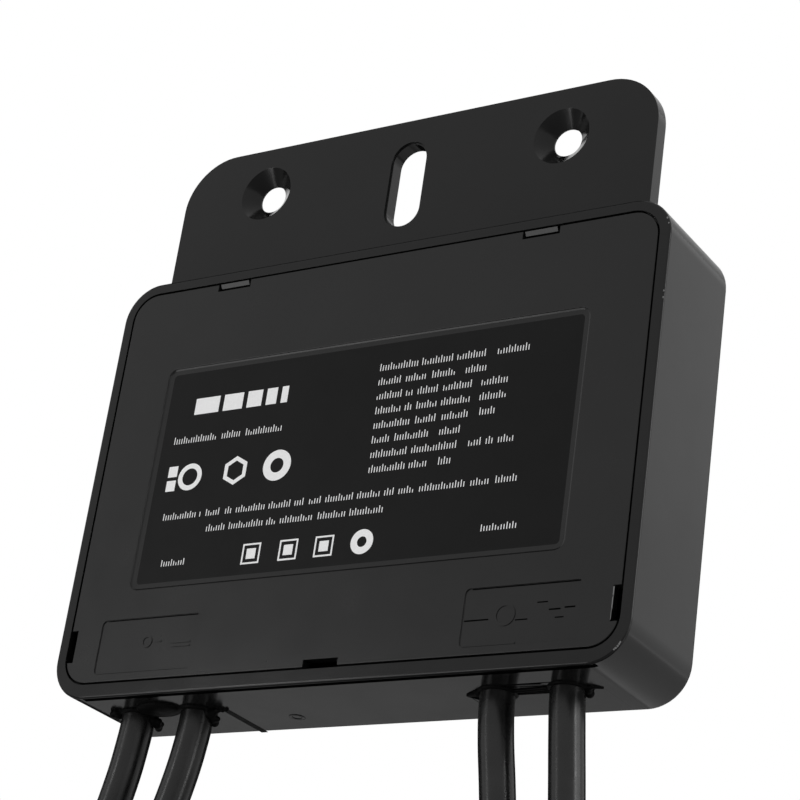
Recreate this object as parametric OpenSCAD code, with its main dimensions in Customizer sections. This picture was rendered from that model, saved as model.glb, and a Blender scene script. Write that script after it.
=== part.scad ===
// Power optimizer for one solar module: a moulded housing with a mounting flange,
// a snap-in cover, the power stage inside and four leads with their connectors.
// The origin lies midway between the two flange holes, on the flange's back face.
// X runs to the right, Y from the front to the back, Z up.

/* [Housing] */
// Width of the housing
body_w = 132; // [120:1:150]
// Height of the housing below the flange
body_h = 94.5; // [86:0.5:110]
// Depth of the housing, front to back
body_d = 25.6; // [25:0.1:34]
// Radius of the housing's four upright corners
body_r = 8.4; // [7:0.1:14]
// Thickness of the side walls
wall = 4; // [3.9:0.1:6]
// Thickness of the back wall
back_wall = 2.5; // [2:0.1:4]
// Width of the front rim beside and above the cover
rim_w = 2.3; // [2:0.1:2.6]
// Width of the front rim below the cover
rim_bottom = 2.9; // [2:0.1:3]
// Rounding of the back edge
back_round = 1.2; // [0.6:0.1:1.8]
// Rounding of the rim's outer edge
rim_round = 0.5; // [0.3:0.1:0.8]
// Diameter of the drip groove under the rim
drip_d = 0.7; // [0.4:0.1:1]

/* [Flange] */
// Width of the mounting flange
flange_w = 117; // [100:1:118]
// Height of the flange above the housing
flange_rise = 32.2; // [29:0.1:40]
// Thickness of the flange
flange_t = 3.3; // [2.5:0.1:5]
// Distance of the flange behind the rim's front face
flange_set = 4.1; // [3:0.1:6]
// Radius of the flange's upper corners
flange_r = 12; // [6:1:14]
// Rounding of the slot's front edge
slot_round = 0.4; // [0.2:0.1:0.8]
// Distance between the two flange holes
hole_pitch = 73.2; // [60:0.2:84]
// Height of the holes above the housing
hole_rise = 21.1; // [16:0.1:22]
// Diameter of the flange holes
hole_d = 6.4; // [5:0.1:7]
// Diameter of the countersink at the front face
sink_d = 12.8; // [10:0.1:14]
// Depth of the countersink
sink_depth = 2.8; // [1.5:0.1:3]
// Width of the upright slot
slot_w = 8; // [6:0.2:10]
// Length of the upright slot
slot_l = 19.6; // [14:0.2:22]
// Height of the slot's middle above the housing
slot_rise = 16.6; // [14:0.2:18]

/* [Cover] */
// Thickness of the cover plate
cover_t = 2.2; // [1.8:0.1:3]
// Gap between the cover and the rim
cover_gap = 0.4; // [0.2:0.05:0.6]
// Distance of the latches from the middle
latch_x = 37.3; // [25:0.1:42]
// Width of a latch notch
latch_w = 8.4; // [6:0.2:12]
// Depth of a latch notch
latch_depth = 1.7; // [1.4:0.1:2]
// Free gap round a catch tongue
latch_gap = 0.35; // [0.2:0.05:0.4]
// How far the catch tongue stays below the cover's face
latch_sunk = 0.2; // [0.1:0.1:0.8]
// How far the catch tongue's ramp falls back towards its foot
latch_ramp = 0.8; // [0.3:0.1:1]
// Width of the lower pry notch
pry_w = 8; // [5:0.5:12]
// Height of the lower pry notch
pry_h = 1.5; // [1:0.1:2]
// Width of a side pry slot
side_slot_w = 1.6; // [1:0.1:2]
// Height of a side pry slot
side_slot_h = 6.9; // [5:0.1:9]
// Height of the side slots' middle above the housing's base
side_slot_rise = 11.3; // [11:0.1:16]
// Depth of the pockets behind the pry openings
pry_pocket = 3; // [2:0.5:5]

/* [Label] */
// Width of the sunk label field
label_w = 101; // [80:1:104]
// Height of the sunk label field
label_h = 50; // [36:0.1:52]
// Height of the label's middle above the housing's base
label_rise = 47.7; // [44:0.1:50]
// Corner radius of the label field
label_r = 2.2; // [1.8:0.2:6]
// Depth of the label field
label_depth = 0.7; // [0.45:0.05:0.9]
// Thickness of the label
label_t = 0.25; // [0.1:0.05:0.4]
// Gap round the label in its field
label_gap = 1.2; // [0.1:0.1:1.6]
// Width of a sunk panel in a lower corner
panel_w = 25; // [18:0.5:27]
// Height of a sunk panel
panel_h = 11.6; // [8:0.2:13]
// Distance of a panel's middle from the housing's middle
panel_x = 43.1; // [40:0.1:44]
// Height of a panel's middle above the housing's base
panel_rise = 10.7; // [10:0.1:12]
// Depth of a sunk panel
panel_depth = 0.25; // [0.1:0.05:0.5]
// Corner radius of a sunk panel
panel_r = 1.2; // [0.4:0.2:3]

/* [Leads] */
// Outer diameter of a lead
lead_d = 6.8; // [5.5:0.1:7.4]
// Diameter of the bare conductor
conductor_d = 2.6; // [2:0.1:3]
// Distance between the two leads of a pair
lead_pitch = 14.9; // [13:0.1:17]
// Middle of the input pair
input_x = -43.8; // [-48:0.1:-38]
// Middle of the output pair
output_x = 40.8; // [36:0.1:46]
// Distance of the leads behind the rim's front face
lead_set = 11.3; // [10:0.1:14]
// Width of a clamp block
clamp_w = 28.6; // [25:0.1:29]
// Open seam at the inner side of the input clamp
clamp_seam = 0.4; // [0:0.05:0.6]
// Height of a clamp block
clamp_h = 8; // [7.5:0.5:10]
// Free gap round a lead in its clamp
lead_gap = 0.15; // [0.05:0.05:0.3]
// Radius of a lump of sealant beside a lead
sealant_r = 1.5; // [1:0.1:2]
// Depth to which a lump of sealant is wiped off at the lead
sealant_lap = 0.6; // [0.2:0.1:1]
// Thickness of the film of sealant between two leads
sealant_film = 0.75; // [0.3:0.05:1]

/* [Coils] */
// Radius of an output coil at the middle of its turns
coil_r = 40.8; // [34:0.2:41]
// Number of turns in a coil
coil_turns = 4; // [3:1:5]
// Free gap between neighbouring turns
turn_gap = 0.1; // [0.05:0.05:1]
// Free gap between the turns and the coil's outline
coil_gap = 0.1; // [0.05:0.05:0.3]
// Width of a coil tie
tie_w = 4.6; // [3:0.2:7]
// Thickness of a coil tie
tie_t = 1.3; // [0.8:0.1:2]
// Edge length of a tie's lock
tie_lock = 6; // [4:0.5:8]

/* [Connectors] */
// Length of the gland nut
nut_l = 20; // [16:1:26]
// Largest radius of the gland nut
nut_r = 9.4; // [8.6:0.1:11]
// Radius of the nut at the lead's end
nut_end_r = 5.8; // [5:0.1:7]
// Length of the nut's taper
nut_taper = 7; // [4:0.5:10]
// Number of grip grooves round the nut
grip_count = 12; // [8:1:16]
// Radius of a grip groove
grip_r = 1; // [0.6:0.1:1.2]
// Depth of a grip groove
grip_depth = 0.6; // [0.3:0.1:0.9]
// Chamfer on the connector's edges
chamfer = 0.8; // [0.4:0.1:1]
// Length of the shell's body
shell_l = 24; // [20:1:32]
// Radius of the shell's body
shell_r = 7.6; // [7.2:0.1:8.4]
// Length of the shell's collar behind the nut
collar_l = 4; // [3:0.5:6]
// Length of the mating sleeve or nose
mate_l = 22; // [18:1:28]
// Outer radius of the mating sleeve
sleeve_r = 7.2; // [6.6:0.1:7.2]
// Inner radius of the mating sleeve
sleeve_bore = 5.6; // [5:0.1:5.8]
// Outer radius of the mating nose
nose_r = 5.3; // [4.6:0.1:5.4]
// Radius of the contact pin
pin_r = 1.9; // [1.6:0.1:2]
// Wall of the contact socket
socket_wall = 0.8; // [0.5:0.1:1]
// Length of a latch arm beside the nose
arm_l = 15; // [10:0.5:18]
// Width of a latch arm
arm_w = 5; // [3:0.5:6]
// Thickness of a latch arm
arm_t = 1.5; // [1:0.1:2]
// Free gap between a latch arm and the nose
arm_gap = 0.6; // [0.4:0.1:1]
// How far the lead enters the nut
lead_grip = 14; // [8:1:15]
// How far the contact stays behind the connector's end
contact_back = 2; // [1:0.5:4]

/* [Board] */
// Free space between the board and the side walls
board_side = 5; // [2:0.5:6]
// Free space between the board and the cavity's roof
board_top = 4; // [2:0.5:6]
// Height of the circuit board
board_h = 66; // [60:1:68]
// Corner radius of the circuit board
board_r = 2; // [1:0.5:4]
// Thickness of the circuit board
board_t = 1.6; // [1:0.1:2.4]
// Height of the posts that carry the board
post_h = 4.5; // [4:0.1:6]
// Diameter of a post
post_d = 6; // [5:0.2:8]
// Distance of the posts from the board's edges
post_inset = 4.5; // [4:0.5:6]
// Distance of the two lower posts from the middle
low_post_x = 20; // [16:1:24]
// Diameter of a board screw
screw_d = 2.5; // [2:0.1:3]
// Diameter of a screw's head
screw_head_d = 4.6; // [4:0.1:5.2]
// Height of a screw's head
screw_head_h = 1.8; // [1:0.1:2.4]
// Depth of a screw in its post
screw_bite = 4; // [3:0.1:4]
// Free gap round a screw
screw_gap = 0.1; // [0.05:0.05:0.2]
// Width of the heat spreader
spreader_w = 72; // [50:1:80]
// Height of the heat spreader
spreader_h = 42; // [30:1:48]
// Thickness of the heat spreader
spreader_t = 2; // [1:0.1:3]
// Width of the thermal pad
pad_w = 60; // [40:1:68]
// Height of the thermal pad
pad_h = 34; // [24:1:40]

/* [Components] */
// Outer radius of the inductor's ring core
core_r = 13; // [10:0.5:14]
// Radius of the hole in the ring core
core_bore = 7; // [5:0.5:8]
// Height of the ring core
core_h = 8; // [6:0.5:10]
// Thickness of the copper winding on the core
winding_t = 1.2; // [0.8:0.1:2]
// Diameter of an input capacitor
cap_d = 10; // [8:0.5:11]
// Height of an input capacitor
cap_h = 12.5; // [8:0.5:14]
// Width of an output capacitor
film_w = 7; // [5:0.5:9]
// Length of an output capacitor
film_l = 18; // [12:1:20]
// Height of an output capacitor
film_h = 11; // [8:0.5:14]
// Edge length of a power switch
switch_w = 9.6; // [7:0.2:11]
// Height of a power switch
switch_h = 4.4; // [2:0.2:5]
// Free gap between neighbouring parts of one row on the board
row_gap = 2.5; // [1:0.1:4]
// Width of the bypass diode
diode_w = 5; // [3:0.2:7]
// Length of the bypass diode
diode_l = 14; // [9:0.5:16]
// Edge length of the controller chip
chip_w = 9; // [6:0.5:10]
// Width of a driver chip
driver_w = 5.4; // [4:0.2:7]
// Length of a driver chip
driver_l = 4.6; // [3:0.2:6]
// Height of the chips
chip_h = 1.2; // [0.8:0.1:2]
// Width of a terminal lug
lug_w = 6; // [5:0.2:7]
// Length of a terminal lug
lug_l = 8; // [6:0.5:9]
// Distance of the lugs from the board's lower edge
lug_inset = 1; // [0.5:0.5:3]

/* [Hidden] */

$fn = 64;
// Overlap that keeps a cut from ending on a face
cut = 1;
// Gap between soft pieces that lie against each other
seat_gap = 0.3;

// Main planes
front_y = -(flange_set + flange_t);
back_y = front_y + body_d;
ledge_y = front_y + cover_t;
floor_y = back_y - back_wall;
top_z = -hole_rise;
base_z = top_z - body_h;
mid_z = (top_z + base_z) / 2;
lead_y = front_y + lead_set;
rebate_mid_z = mid_z + (rim_bottom - rim_w) / 2;
rebate_w = body_w - 2 * rim_w;
rebate_h = body_h - rim_w - rim_bottom;
rebate_r = body_r - rim_w;
cavity_top_z = top_z - wall;

// Board places
board_w = body_w - 2 * wall - 2 * board_side;
board_back_y = floor_y - post_h;
board_y = board_back_y - board_t;
board_z = cavity_top_z - board_top - board_h / 2;
post_x = board_w / 2 - post_inset;
post_z = board_h / 2 - post_inset;
posts = [
    [-post_x, board_z + post_z], [post_x, board_z + post_z],
    [-low_post_x, board_z - post_z], [low_post_x, board_z - post_z]
];
pad_t = post_h - spreader_t;
lug_z = board_z - board_h / 2 + lug_inset + lug_l / 2;
jacket_end_z = base_z + clamp_h + cut;
conductor_end_z = lug_z + lug_l / 2;
conductor_r = conductor_d / 2;
inductor_h = core_h + 2 * winding_t;

// Places of the components on the board, from the board's middle
inductor_place = [6, 12];
capacitor_place = [-37, 9];
film_place = [32, 12];
switch_place = [0, -12];
diode_place = [45, -14];
chip_place = [-19, 10];

// Exits of the leads: plus and minus of the input, plus and minus of the output
input_xs = [input_x - lead_pitch / 2, input_x + lead_pitch / 2];
output_xs = [output_x - lead_pitch / 2, output_x + lead_pitch / 2];
lead_r = lead_d / 2;
lead_sides = 10;

// Routes of the leads below the housing: shift to the right of the exit, drop below the base
input_plus_route = [
    [0, 2], [-0.3, 6], [-1.4, 14], [-4.4, 26], [-9.4, 39], [-14.4, 52], [-19.4, 65], [-23.4, 79],
    [-26.4, 93], [-28.4, 108], [-29.4, 124], [-29.4, 140]
];
input_minus_route = [
    [0, 2], [-0.3, 6], [-1.6, 14], [-4.8, 26], [-8.6, 38], [-12.6, 51], [-15.6, 64], [-17.6, 78],
    [-18.6, 93], [-19, 108], [-19.1, 124], [-19.1, 140]
];
output_plus_route = [[0, 2], [0.6, 8], [2.4, 19], [4, 30], [4.6, 42]];
output_minus_route = [[0, 2], [0.6, 8], [1.9, 19], [3.1, 30], [3.7, 42]];
output_plus_tail = [[4.3, 110], [3.1, 124], [1.5, 138], [0.3, 152], [0.1, 168]];
output_minus_tail = [[4, 110], [5.2, 124], [6.8, 138], [8, 152], [8.2, 168]];
coil_drop = 78;

function hang(x, y, route) = [for (p = route) [x + p[0], y, base_z - p[1]]];
function last(list) = list[len(list) - 1];

// Coil places: each coil is entered and left beside the lane that its lead comes down
coil_z = base_z - coil_drop;
coil_span = coil_turns * (lead_d + turn_gap);
coil_half = lead_r + coil_gap;
coil_reach = sqrt(pow(coil_r + coil_half, 2) - pow(coil_r - lead_r, 2)) + seat_gap;
plus_lane_x = output_xs[0] + last(output_plus_route)[0];
minus_lane_x = output_xs[1] + last(output_minus_route)[0];
plus_coil_x = plus_lane_x - coil_r;
minus_coil_x = minus_lane_x + coil_r;
tail_y = lead_y + coil_span;

// Ends of the leads, where the connectors begin
input_plus_end = last(hang(input_xs[0], lead_y, input_plus_route));
input_minus_end = last(hang(input_xs[1], lead_y, input_minus_route));
output_plus_end = last(hang(output_xs[0], tail_y, output_plus_tail));
output_minus_end = last(hang(output_xs[1], tail_y, output_minus_tail));

// Colours
black_plastic = [0.17, 0.17, 0.18];
label_black = [0.1, 0.1, 0.11];
rubber_black = [0.08, 0.08, 0.08];
resin_grey = [0.25, 0.26, 0.28];
board_green = [0.05, 0.32, 0.18];
copper = [0.78, 0.46, 0.28];
aluminium = [0.75, 0.76, 0.78];
tinned = [0.72, 0.71, 0.68];

// Flat shapes in the X-Z plane, given a place and a depth along Y
module slab(y, t) {
    translate([0, y + t, 0])
        rotate([90, 0, 0])
            linear_extrude(t)
                children();
}

module rounded_rect(w, h, r) {
    square([w - 2 * r, h], center = true);
    square([w, h - 2 * r], center = true);
    for (sx = [-1, 1], sz = [-1, 1])
        translate([sx * (w / 2 - r), sz * (h / 2 - r)])
            circle(r);
}

// A box given by its middle in X and Z and its near face in Y
module block(x, y, z, w, t, h) {
    translate([x - w / 2, y, z - h / 2])
        cube([w, t, h]);
}

// A round bar along Y that starts at a given depth
module bar(x, y, z, r, t) {
    translate([x, y, z])
        rotate([-90, 0, 0])
            cylinder(r = r, h = t);
}

// A flat profile carried round the edge of a rounded rectangle
module edge_sweep(w, h, r) {
    for (turn = [0 : 3]) {
        half_x = (turn % 2 == 0 ? w : h) / 2 - r;
        half_y = (turn % 2 == 0 ? h : w) / 2 - r;
        rotate(90 * turn) {
            translate([half_x, half_y, 0])
                rotate_extrude(angle = 90)
                    translate([r, 0])
                        children();
            translate([half_x + r, half_y, 0])
                rotate([90, 0, 0])
                    linear_extrude(2 * half_y)
                        children();
        }
    }
}

// What a round edge takes away from a square one, above and left of the corner
module edge_waste(r) {
    difference() {
        translate([-r, -cut])
            square([r + cut, r + cut]);
        translate([-r, r])
            circle(r);
    }
}

module body_outline(inset) {
    translate([0, mid_z])
        rounded_rect(body_w - 2 * inset, body_h - 2 * inset, body_r - inset);
}

module rebate_outline(gap) {
    translate([0, rebate_mid_z])
        rounded_rect(rebate_w - 2 * gap, rebate_h - 2 * gap, rebate_r - gap);
}

module flange_outline() {
    flange_top = top_z + flange_rise;
    flange_foot = top_z - wall / 2;
    translate([-flange_w / 2, flange_foot])
        square([flange_w, flange_top - flange_r - flange_foot]);
    translate([-flange_w / 2 + flange_r, flange_foot])
        square([flange_w - 2 * flange_r, flange_top - flange_foot]);
    for (sx = [-1, 1])
        translate([sx * (flange_w / 2 - flange_r), flange_top - flange_r])
            circle(flange_r);
}

module slot_outline(w, l) {
    translate([0, top_z + slot_rise]) {
        square([w, l - w], center = true);
        for (sz = [-1, 1])
            translate([0, sz * (l - w) / 2])
                circle(w / 2);
    }
}

// The housing's outer block with its round edges, before anything is cut
module body_block() {
    difference() {
        slab(front_y, body_d)
            body_outline(0);
        translate([0, back_y, mid_z])
            rotate([90, 0, 0])
                edge_sweep(body_w, body_h, body_r)
                    edge_waste(back_round);
        translate([0, front_y, mid_z])
            rotate([90, 0, 0])
                edge_sweep(body_w, body_h, body_r)
                    mirror([0, 1])
                        edge_waste(rim_round);
    }
}

module flange_holes() {
    for (sx = [-1, 1]) {
        bar(sx * hole_pitch / 2, -flange_t - cut, 0, hole_d / 2, flange_t + 2 * cut);
        translate([sx * hole_pitch / 2, -flange_t, 0])
            rotate([-90, 0, 0])
                cylinder(r1 = sink_d / 2, r2 = hole_d / 2, h = sink_depth);
    }
    slab(-flange_t - cut, flange_t + 2 * cut)
        slot_outline(slot_w, slot_l);
    slab(-flange_t - cut, cut + slot_round)
        slot_outline(slot_w + 2 * slot_round, slot_l + 2 * slot_round);
}

module clamp_box(pair_x, seam) {
    block(pair_x - seam / 2, lead_y, base_z + clamp_h / 2, clamp_w - seam, back_y - lead_y, clamp_h);
}

// The opening for one clamp: its box without a seam, drawn past the walls it cuts
module clamp_opening(pair_x) {
    block(pair_x, lead_y, base_z + clamp_h / 2 - cut / 2, clamp_w, back_y - lead_y + cut, clamp_h + cut);
}

module lead_bores(xs) {
    for (x = xs)
        translate([x, lead_y, base_z - cut])
            cylinder(r = lead_r + lead_gap, h = clamp_h + 2 * cut);
}

module pry_pockets() {
    pocket_t = pry_pocket + cut;
    block(0, ledge_y - cut, base_z + rim_bottom + wall / 2, pry_w, pocket_t, wall);
    for (sx = [-1, 1])
        block(sx * (body_w / 2 - rim_w - wall / 2), ledge_y - cut, base_z + side_slot_rise,
            wall, pocket_t, side_slot_h);
}

// Tongues that stand on the ledge, each with a ramp that faces the cover's middle
module catch_tongues() {
    tongue_w = latch_w - 2 * latch_gap;
    tongue_top_z = top_z - rim_w - latch_gap;
    tongue_foot_z = tongue_top_z - latch_depth - cover_gap + 2 * latch_gap;
    tongue_y = front_y + latch_sunk;
    for (sx = [-1, 1])
        translate([sx * latch_x - tongue_w / 2, 0, 0])
            rotate([90, 0, 90])
                linear_extrude(tongue_w)
                    polygon([
                        [ledge_y + cut, tongue_top_z], [tongue_y, tongue_top_z],
                        [tongue_y + latch_ramp, tongue_foot_z], [ledge_y + cut, tongue_foot_z]
                    ]);
}

module board_posts() {
    for (p = posts)
        difference() {
            bar(p[0], board_back_y, p[1], post_d / 2, post_h + cut);
            bar(p[0], board_back_y - cut, p[1], screw_d / 2 + screw_gap, screw_bite + screw_gap + cut);
        }
}

module housing() {
    color(black_plastic) {
        difference() {
            union() {
                body_block();
                slab(-flange_t, flange_t)
                    flange_outline();
            }
            slab(front_y - cut, cover_t + cut)
                rebate_outline(0);
            slab(ledge_y - cut, floor_y - ledge_y + cut)
                body_outline(wall);
            flange_holes();
            clamp_opening(input_x);
            clamp_opening(output_x);
            lead_bores(concat(input_xs, output_xs));
            pry_pockets();
            translate([0, front_y + rim_round + drip_d / 2, base_z])
                rotate([0, 90, 0])
                    cylinder(d = drip_d, h = body_w - 2 * body_r, center = true);
        }
        catch_tongues();
        board_posts();
    }
}

module cover() {
    edge_top_z = top_z - rim_w - cover_gap;
    edge_base_z = base_z + rim_bottom + cover_gap;
    edge_x = body_w / 2 - rim_w - cover_gap;
    through_t = cover_t + 2 * cut;
    color(black_plastic)
        difference() {
            slab(front_y, cover_t)
                rebate_outline(cover_gap);
            for (sx = [-1, 1]) {
                block(sx * latch_x, front_y - cut, edge_top_z - latch_depth / 2 + cut / 2,
                    latch_w, through_t, latch_depth + cut);
                block(sx * (edge_x - side_slot_w / 2 + cut / 2), front_y - cut, base_z + side_slot_rise,
                    side_slot_w + cut, through_t, side_slot_h);
                translate([sx * panel_x, 0, base_z + panel_rise])
                    slab(front_y - cut, panel_depth + cut)
                        rounded_rect(panel_w, panel_h, panel_r);
            }
            block(0, front_y - cut, edge_base_z + pry_h / 2 - cut / 2, pry_w, through_t, pry_h + cut);
            translate([0, 0, base_z + label_rise])
                slab(front_y - cut, label_depth + cut)
                    rounded_rect(label_w, label_h, label_r);
        }
}

module label() {
    color(label_black)
        translate([0, 0, base_z + label_rise])
            slab(front_y + label_depth - label_t, label_t)
                rounded_rect(label_w - 2 * label_gap, label_h - 2 * label_gap, label_r - label_gap);
}

module clamp(pair_x, xs, seam) {
    color(black_plastic)
        difference() {
            intersection() {
                body_block();
                clamp_box(pair_x, seam);
            }
            lead_bores(xs);
        }
}

// Lumps and a film of sealant beside the leads, flat against the housing's base
module sealant(xs) {
    lump_x = lead_r + lead_gap + sealant_r - sealant_lap;
    mid_x = (xs[0] + xs[1]) / 2;
    color(rubber_black)
        difference() {
            union() {
                for (x = xs, side = [-1, 1])
                    translate([x + side * lump_x, lead_y, base_z])
                        sphere(sealant_r);
                block(mid_x, lead_y - sealant_r, base_z - sealant_film / 2,
                    lead_pitch, 2 * sealant_r, sealant_film);
            }
            block(mid_x, lead_y - 2 * sealant_r, base_z + sealant_r, body_w, 4 * sealant_r, 2 * sealant_r);
            for (x = xs)
                translate([x, lead_y, base_z - 2 * sealant_r])
                    cylinder(r = lead_r + lead_gap, h = 4 * sealant_r);
        }
}

module circuit_board() {
    color(board_green)
        difference() {
            translate([0, 0, board_z])
                slab(board_y, board_t)
                    rounded_rect(board_w, board_h, board_r);
            for (p = posts)
                bar(p[0], board_y - cut, p[1], screw_d / 2 + screw_gap, board_t + 2 * cut);
        }
}

module board_screws() {
    color(aluminium)
        for (p = posts) {
            bar(p[0], board_y - screw_head_h, p[1], screw_head_d / 2, screw_head_h);
            bar(p[0], board_y - cut, p[1], screw_d / 2, cut + board_t + screw_bite);
        }
}

module heat_spreader() {
    color(aluminium)
        block(0, floor_y - spreader_t, board_z, spreader_w, spreader_t, spreader_h);
}

module thermal_pad() {
    color(resin_grey)
        block(0, board_back_y, board_z, pad_w, pad_t, pad_h);
}

// Resin poured behind the board, round the posts, the spreader and the clamps
module potting_compound() {
    color(resin_grey)
        difference() {
            slab(board_back_y, post_h)
                body_outline(wall);
            block(0, floor_y - spreader_t, board_z, spreader_w, spreader_t + cut, spreader_h);
            block(0, board_back_y - cut, board_z, pad_w, pad_t + cut, pad_h);
            clamp_opening(input_x);
            clamp_opening(output_x);
            for (p = posts)
                bar(p[0], board_back_y - cut, p[1], post_d / 2, post_h + 2 * cut);
        }
}

// A piece on the board's front side, placed from the board's middle
module on_board(place) {
    translate([place[0], board_y, board_z + place[1]])
        children();
}

// A ring about the Y axis with a square section
module ring(outer, inner, y, h) {
    difference() {
        bar(0, y, 0, outer, h);
        bar(0, y - cut, 0, inner, h + 2 * cut);
    }
}

module inductor_core() {
    color([0.25, 0.27, 0.24])
        on_board(inductor_place)
            ring(core_r, core_bore, winding_t - inductor_h, core_h);
}

module inductor_winding() {
    color(copper)
        on_board(inductor_place)
            difference() {
                ring(core_r + winding_t, core_bore - winding_t, -inductor_h, inductor_h);
                ring(core_r, core_bore, winding_t - inductor_h, core_h);
            }
}

module input_capacitors() {
    color([0.15, 0.17, 0.2])
        on_board(capacitor_place)
            for (i = [-1 : 1])
                bar(0, -cap_h, i * (cap_d + row_gap), cap_d / 2, cap_h);
}

module output_capacitors() {
    color([0.55, 0.12, 0.1])
        on_board(film_place)
            for (side = [-1, 1])
                block(side * (film_w + row_gap) / 2, -film_h, 0, film_w, film_h, film_l);
}

module power_switches() {
    color([0.1, 0.1, 0.1])
        on_board(switch_place)
            for (i = [-1.5 : 1.5])
                block(i * (switch_w + row_gap), -switch_h, 0, switch_w, switch_h, switch_w);
}

module bypass_diode() {
    color([0.1, 0.1, 0.1])
        on_board(diode_place)
            block(0, -switch_h, 0, diode_w, switch_h, diode_l);
}

module controller_chip() {
    color([0.12, 0.12, 0.13])
        on_board(chip_place)
            block(0, -chip_h, 0, chip_w, chip_h, chip_w);
}

module driver_chips() {
    color([0.12, 0.12, 0.13])
        on_board(chip_place)
            for (side = [-1, 1])
                block(0, -chip_h, side * ((chip_w + driver_l) / 2 + row_gap), driver_w, chip_h, driver_l);
}

// Lugs that stand on the board and carry the stripped ends of the leads
module terminals(xs) {
    color(tinned)
        for (x = xs)
            difference() {
                block(x, lead_y, lug_z, lug_w, board_y - lead_y, lug_l);
                translate([x, lead_y, lug_z - lug_l / 2 - cut])
                    cylinder(r = conductor_r, h = lug_l + 2 * cut);
            }
}

module conductors(xs) {
    color(copper)
        for (x = xs)
            translate([x, lead_y, jacket_end_z])
                cylinder(r = conductor_r, h = conductor_end_z - jacket_end_z);
}

// Sweep of a round lead along a list of points
function unit(v) = v / norm(v);
function heading(pts, i) =
    let (end = len(pts) - 1)
    unit(pts[min(i + 1, end)] - pts[max(i - 1, 0)]);
function lead_ring(pts, i) =
    let (t = heading(pts, i), side = unit(cross(t, [0, 1, 0])), up = cross(side, t))
    [for (k = [0 : lead_sides - 1])
        let (a = 360 * k / lead_sides)
        pts[i] + lead_r * (cos(a) * side + sin(a) * up)];
function wall_faces(rings) =
    [for (i = [0 : rings - 2], k = [0 : lead_sides - 1])
        let (n = (k + 1) % lead_sides, a = i * lead_sides, b = a + lead_sides)
        [a + k, a + n, b + n, b + k]];

module lead(pts) {
    rings = len(pts);
    far = (rings - 1) * lead_sides;
    polyhedron(
        points = [for (i = [0 : rings - 1]) each lead_ring(pts, i)],
        faces = concat(
            [[for (k = [lead_sides - 1 : -1 : 0]) k]],
            wall_faces(rings),
            [[for (k = [0 : lead_sides - 1]) far + k]]
        )
    );
}

// A lead from its stripped end in the clamp down to its exit
function inner_stretch(x) = [[x, lead_y, jacket_end_z], [x, lead_y, base_z]];
// A lead's end inside its connector
function gripped(pts) = concat(pts, [last(pts) - [0, 0, lead_grip]]);

module input_lead(x, route) {
    color(rubber_black)
        lead(gripped(concat(inner_stretch(x), hang(x, lead_y, route))));
}

// A lead that runs into a coil and leaves it again at the same side
module output_lead(x, route, tail) {
    lane_x = x + last(route)[0];
    color(rubber_black) {
        lead(concat(inner_stretch(x), hang(x, lead_y, route), [[lane_x, lead_y, coil_z + coil_reach]]));
        lead(gripped(concat([[lane_x, tail_y, coil_z - coil_reach]], hang(x, tail_y, tail))));
    }
}

module coil(x) {
    section_h = coil_span + 2 * coil_half;
    color(rubber_black)
        translate([x, lead_y + coil_span / 2, coil_z])
            rotate([90, 0, 0])
                rotate_extrude()
                    translate([coil_r, 0])
                        rounded_rect(2 * coil_half, section_h, lead_r);
}

// Two ties round a coil's turns, at the top and at the foot, each with its lock
module ties(x) {
    bundle_w = 2 * coil_half + 2 * coil_gap;
    bundle_h = coil_span + bundle_w;
    color(label_black)
        for (sz = [-1, 1])
            translate([x, lead_y + coil_span / 2, coil_z + sz * coil_r])
                rotate([0, 90, 0]) {
                    linear_extrude(tie_w, center = true)
                        difference() {
                            rounded_rect(bundle_w + 2 * tie_t, bundle_h + 2 * tie_t, lead_r + tie_t);
                            rounded_rect(bundle_w, bundle_h, lead_r);
                        }
                    translate([-tie_lock / 2, -bundle_h / 2 - tie_t - tie_lock / 2, -tie_lock / 2])
                        cube([tie_lock, tie_lock / 2 + tie_t / 2, tie_lock]);
                }
}

// Connector pieces hang below a lead's end, turned about an axis along Z
module turned(at) {
    translate(at)
        rotate_extrude()
            children();
}

module gland_nut(at) {
    nut_bore = lead_r + lead_gap;
    color(label_black)
        difference() {
            turned(at)
                polygon([
                    [nut_bore, 0], [nut_end_r, 0], [nut_r - chamfer, -nut_taper],
                    [nut_r, -nut_taper - chamfer], [nut_r, -nut_l], [nut_bore, -nut_l]
                ]);
            for (i = [0 : grip_count - 1])
                translate(at)
                    rotate(360 * i / grip_count)
                        translate([nut_r + grip_r - grip_depth, 0, -nut_l - cut])
                            cylinder(r = grip_r, h = nut_l + cut);
        }
}

// A collar and a body, then a sleeve round a pin or a nose round a socket
module connector_shell(at, has_pin) {
    bore = pin_r + (has_pin ? 0 : socket_wall);
    mate_r = has_pin ? sleeve_r : nose_r;
    mate_bore = has_pin ? sleeve_bore : bore;
    collar_z = -nut_l - collar_l;
    body_z = collar_z - shell_l;
    tip_z = body_z - mate_l;
    color(label_black) {
        turned(at)
            polygon([
                [bore, -nut_l], [nut_r, -nut_l], [nut_r, collar_z + chamfer], [nut_r - chamfer, collar_z],
                [shell_r, collar_z], [shell_r, body_z], [mate_r, body_z], [mate_r, tip_z + chamfer],
                [mate_r - chamfer, tip_z], [mate_bore, tip_z], [mate_bore, body_z + chamfer],
                [bore, body_z + chamfer]
            ]);
        if (!has_pin)
            for (side = [0, 180])
                translate(at)
                    rotate(side)
                        translate([nose_r + arm_gap, -arm_w / 2, body_z - arm_l])
                            cube([arm_t, arm_w, arm_l + chamfer]);
    }
}

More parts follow.
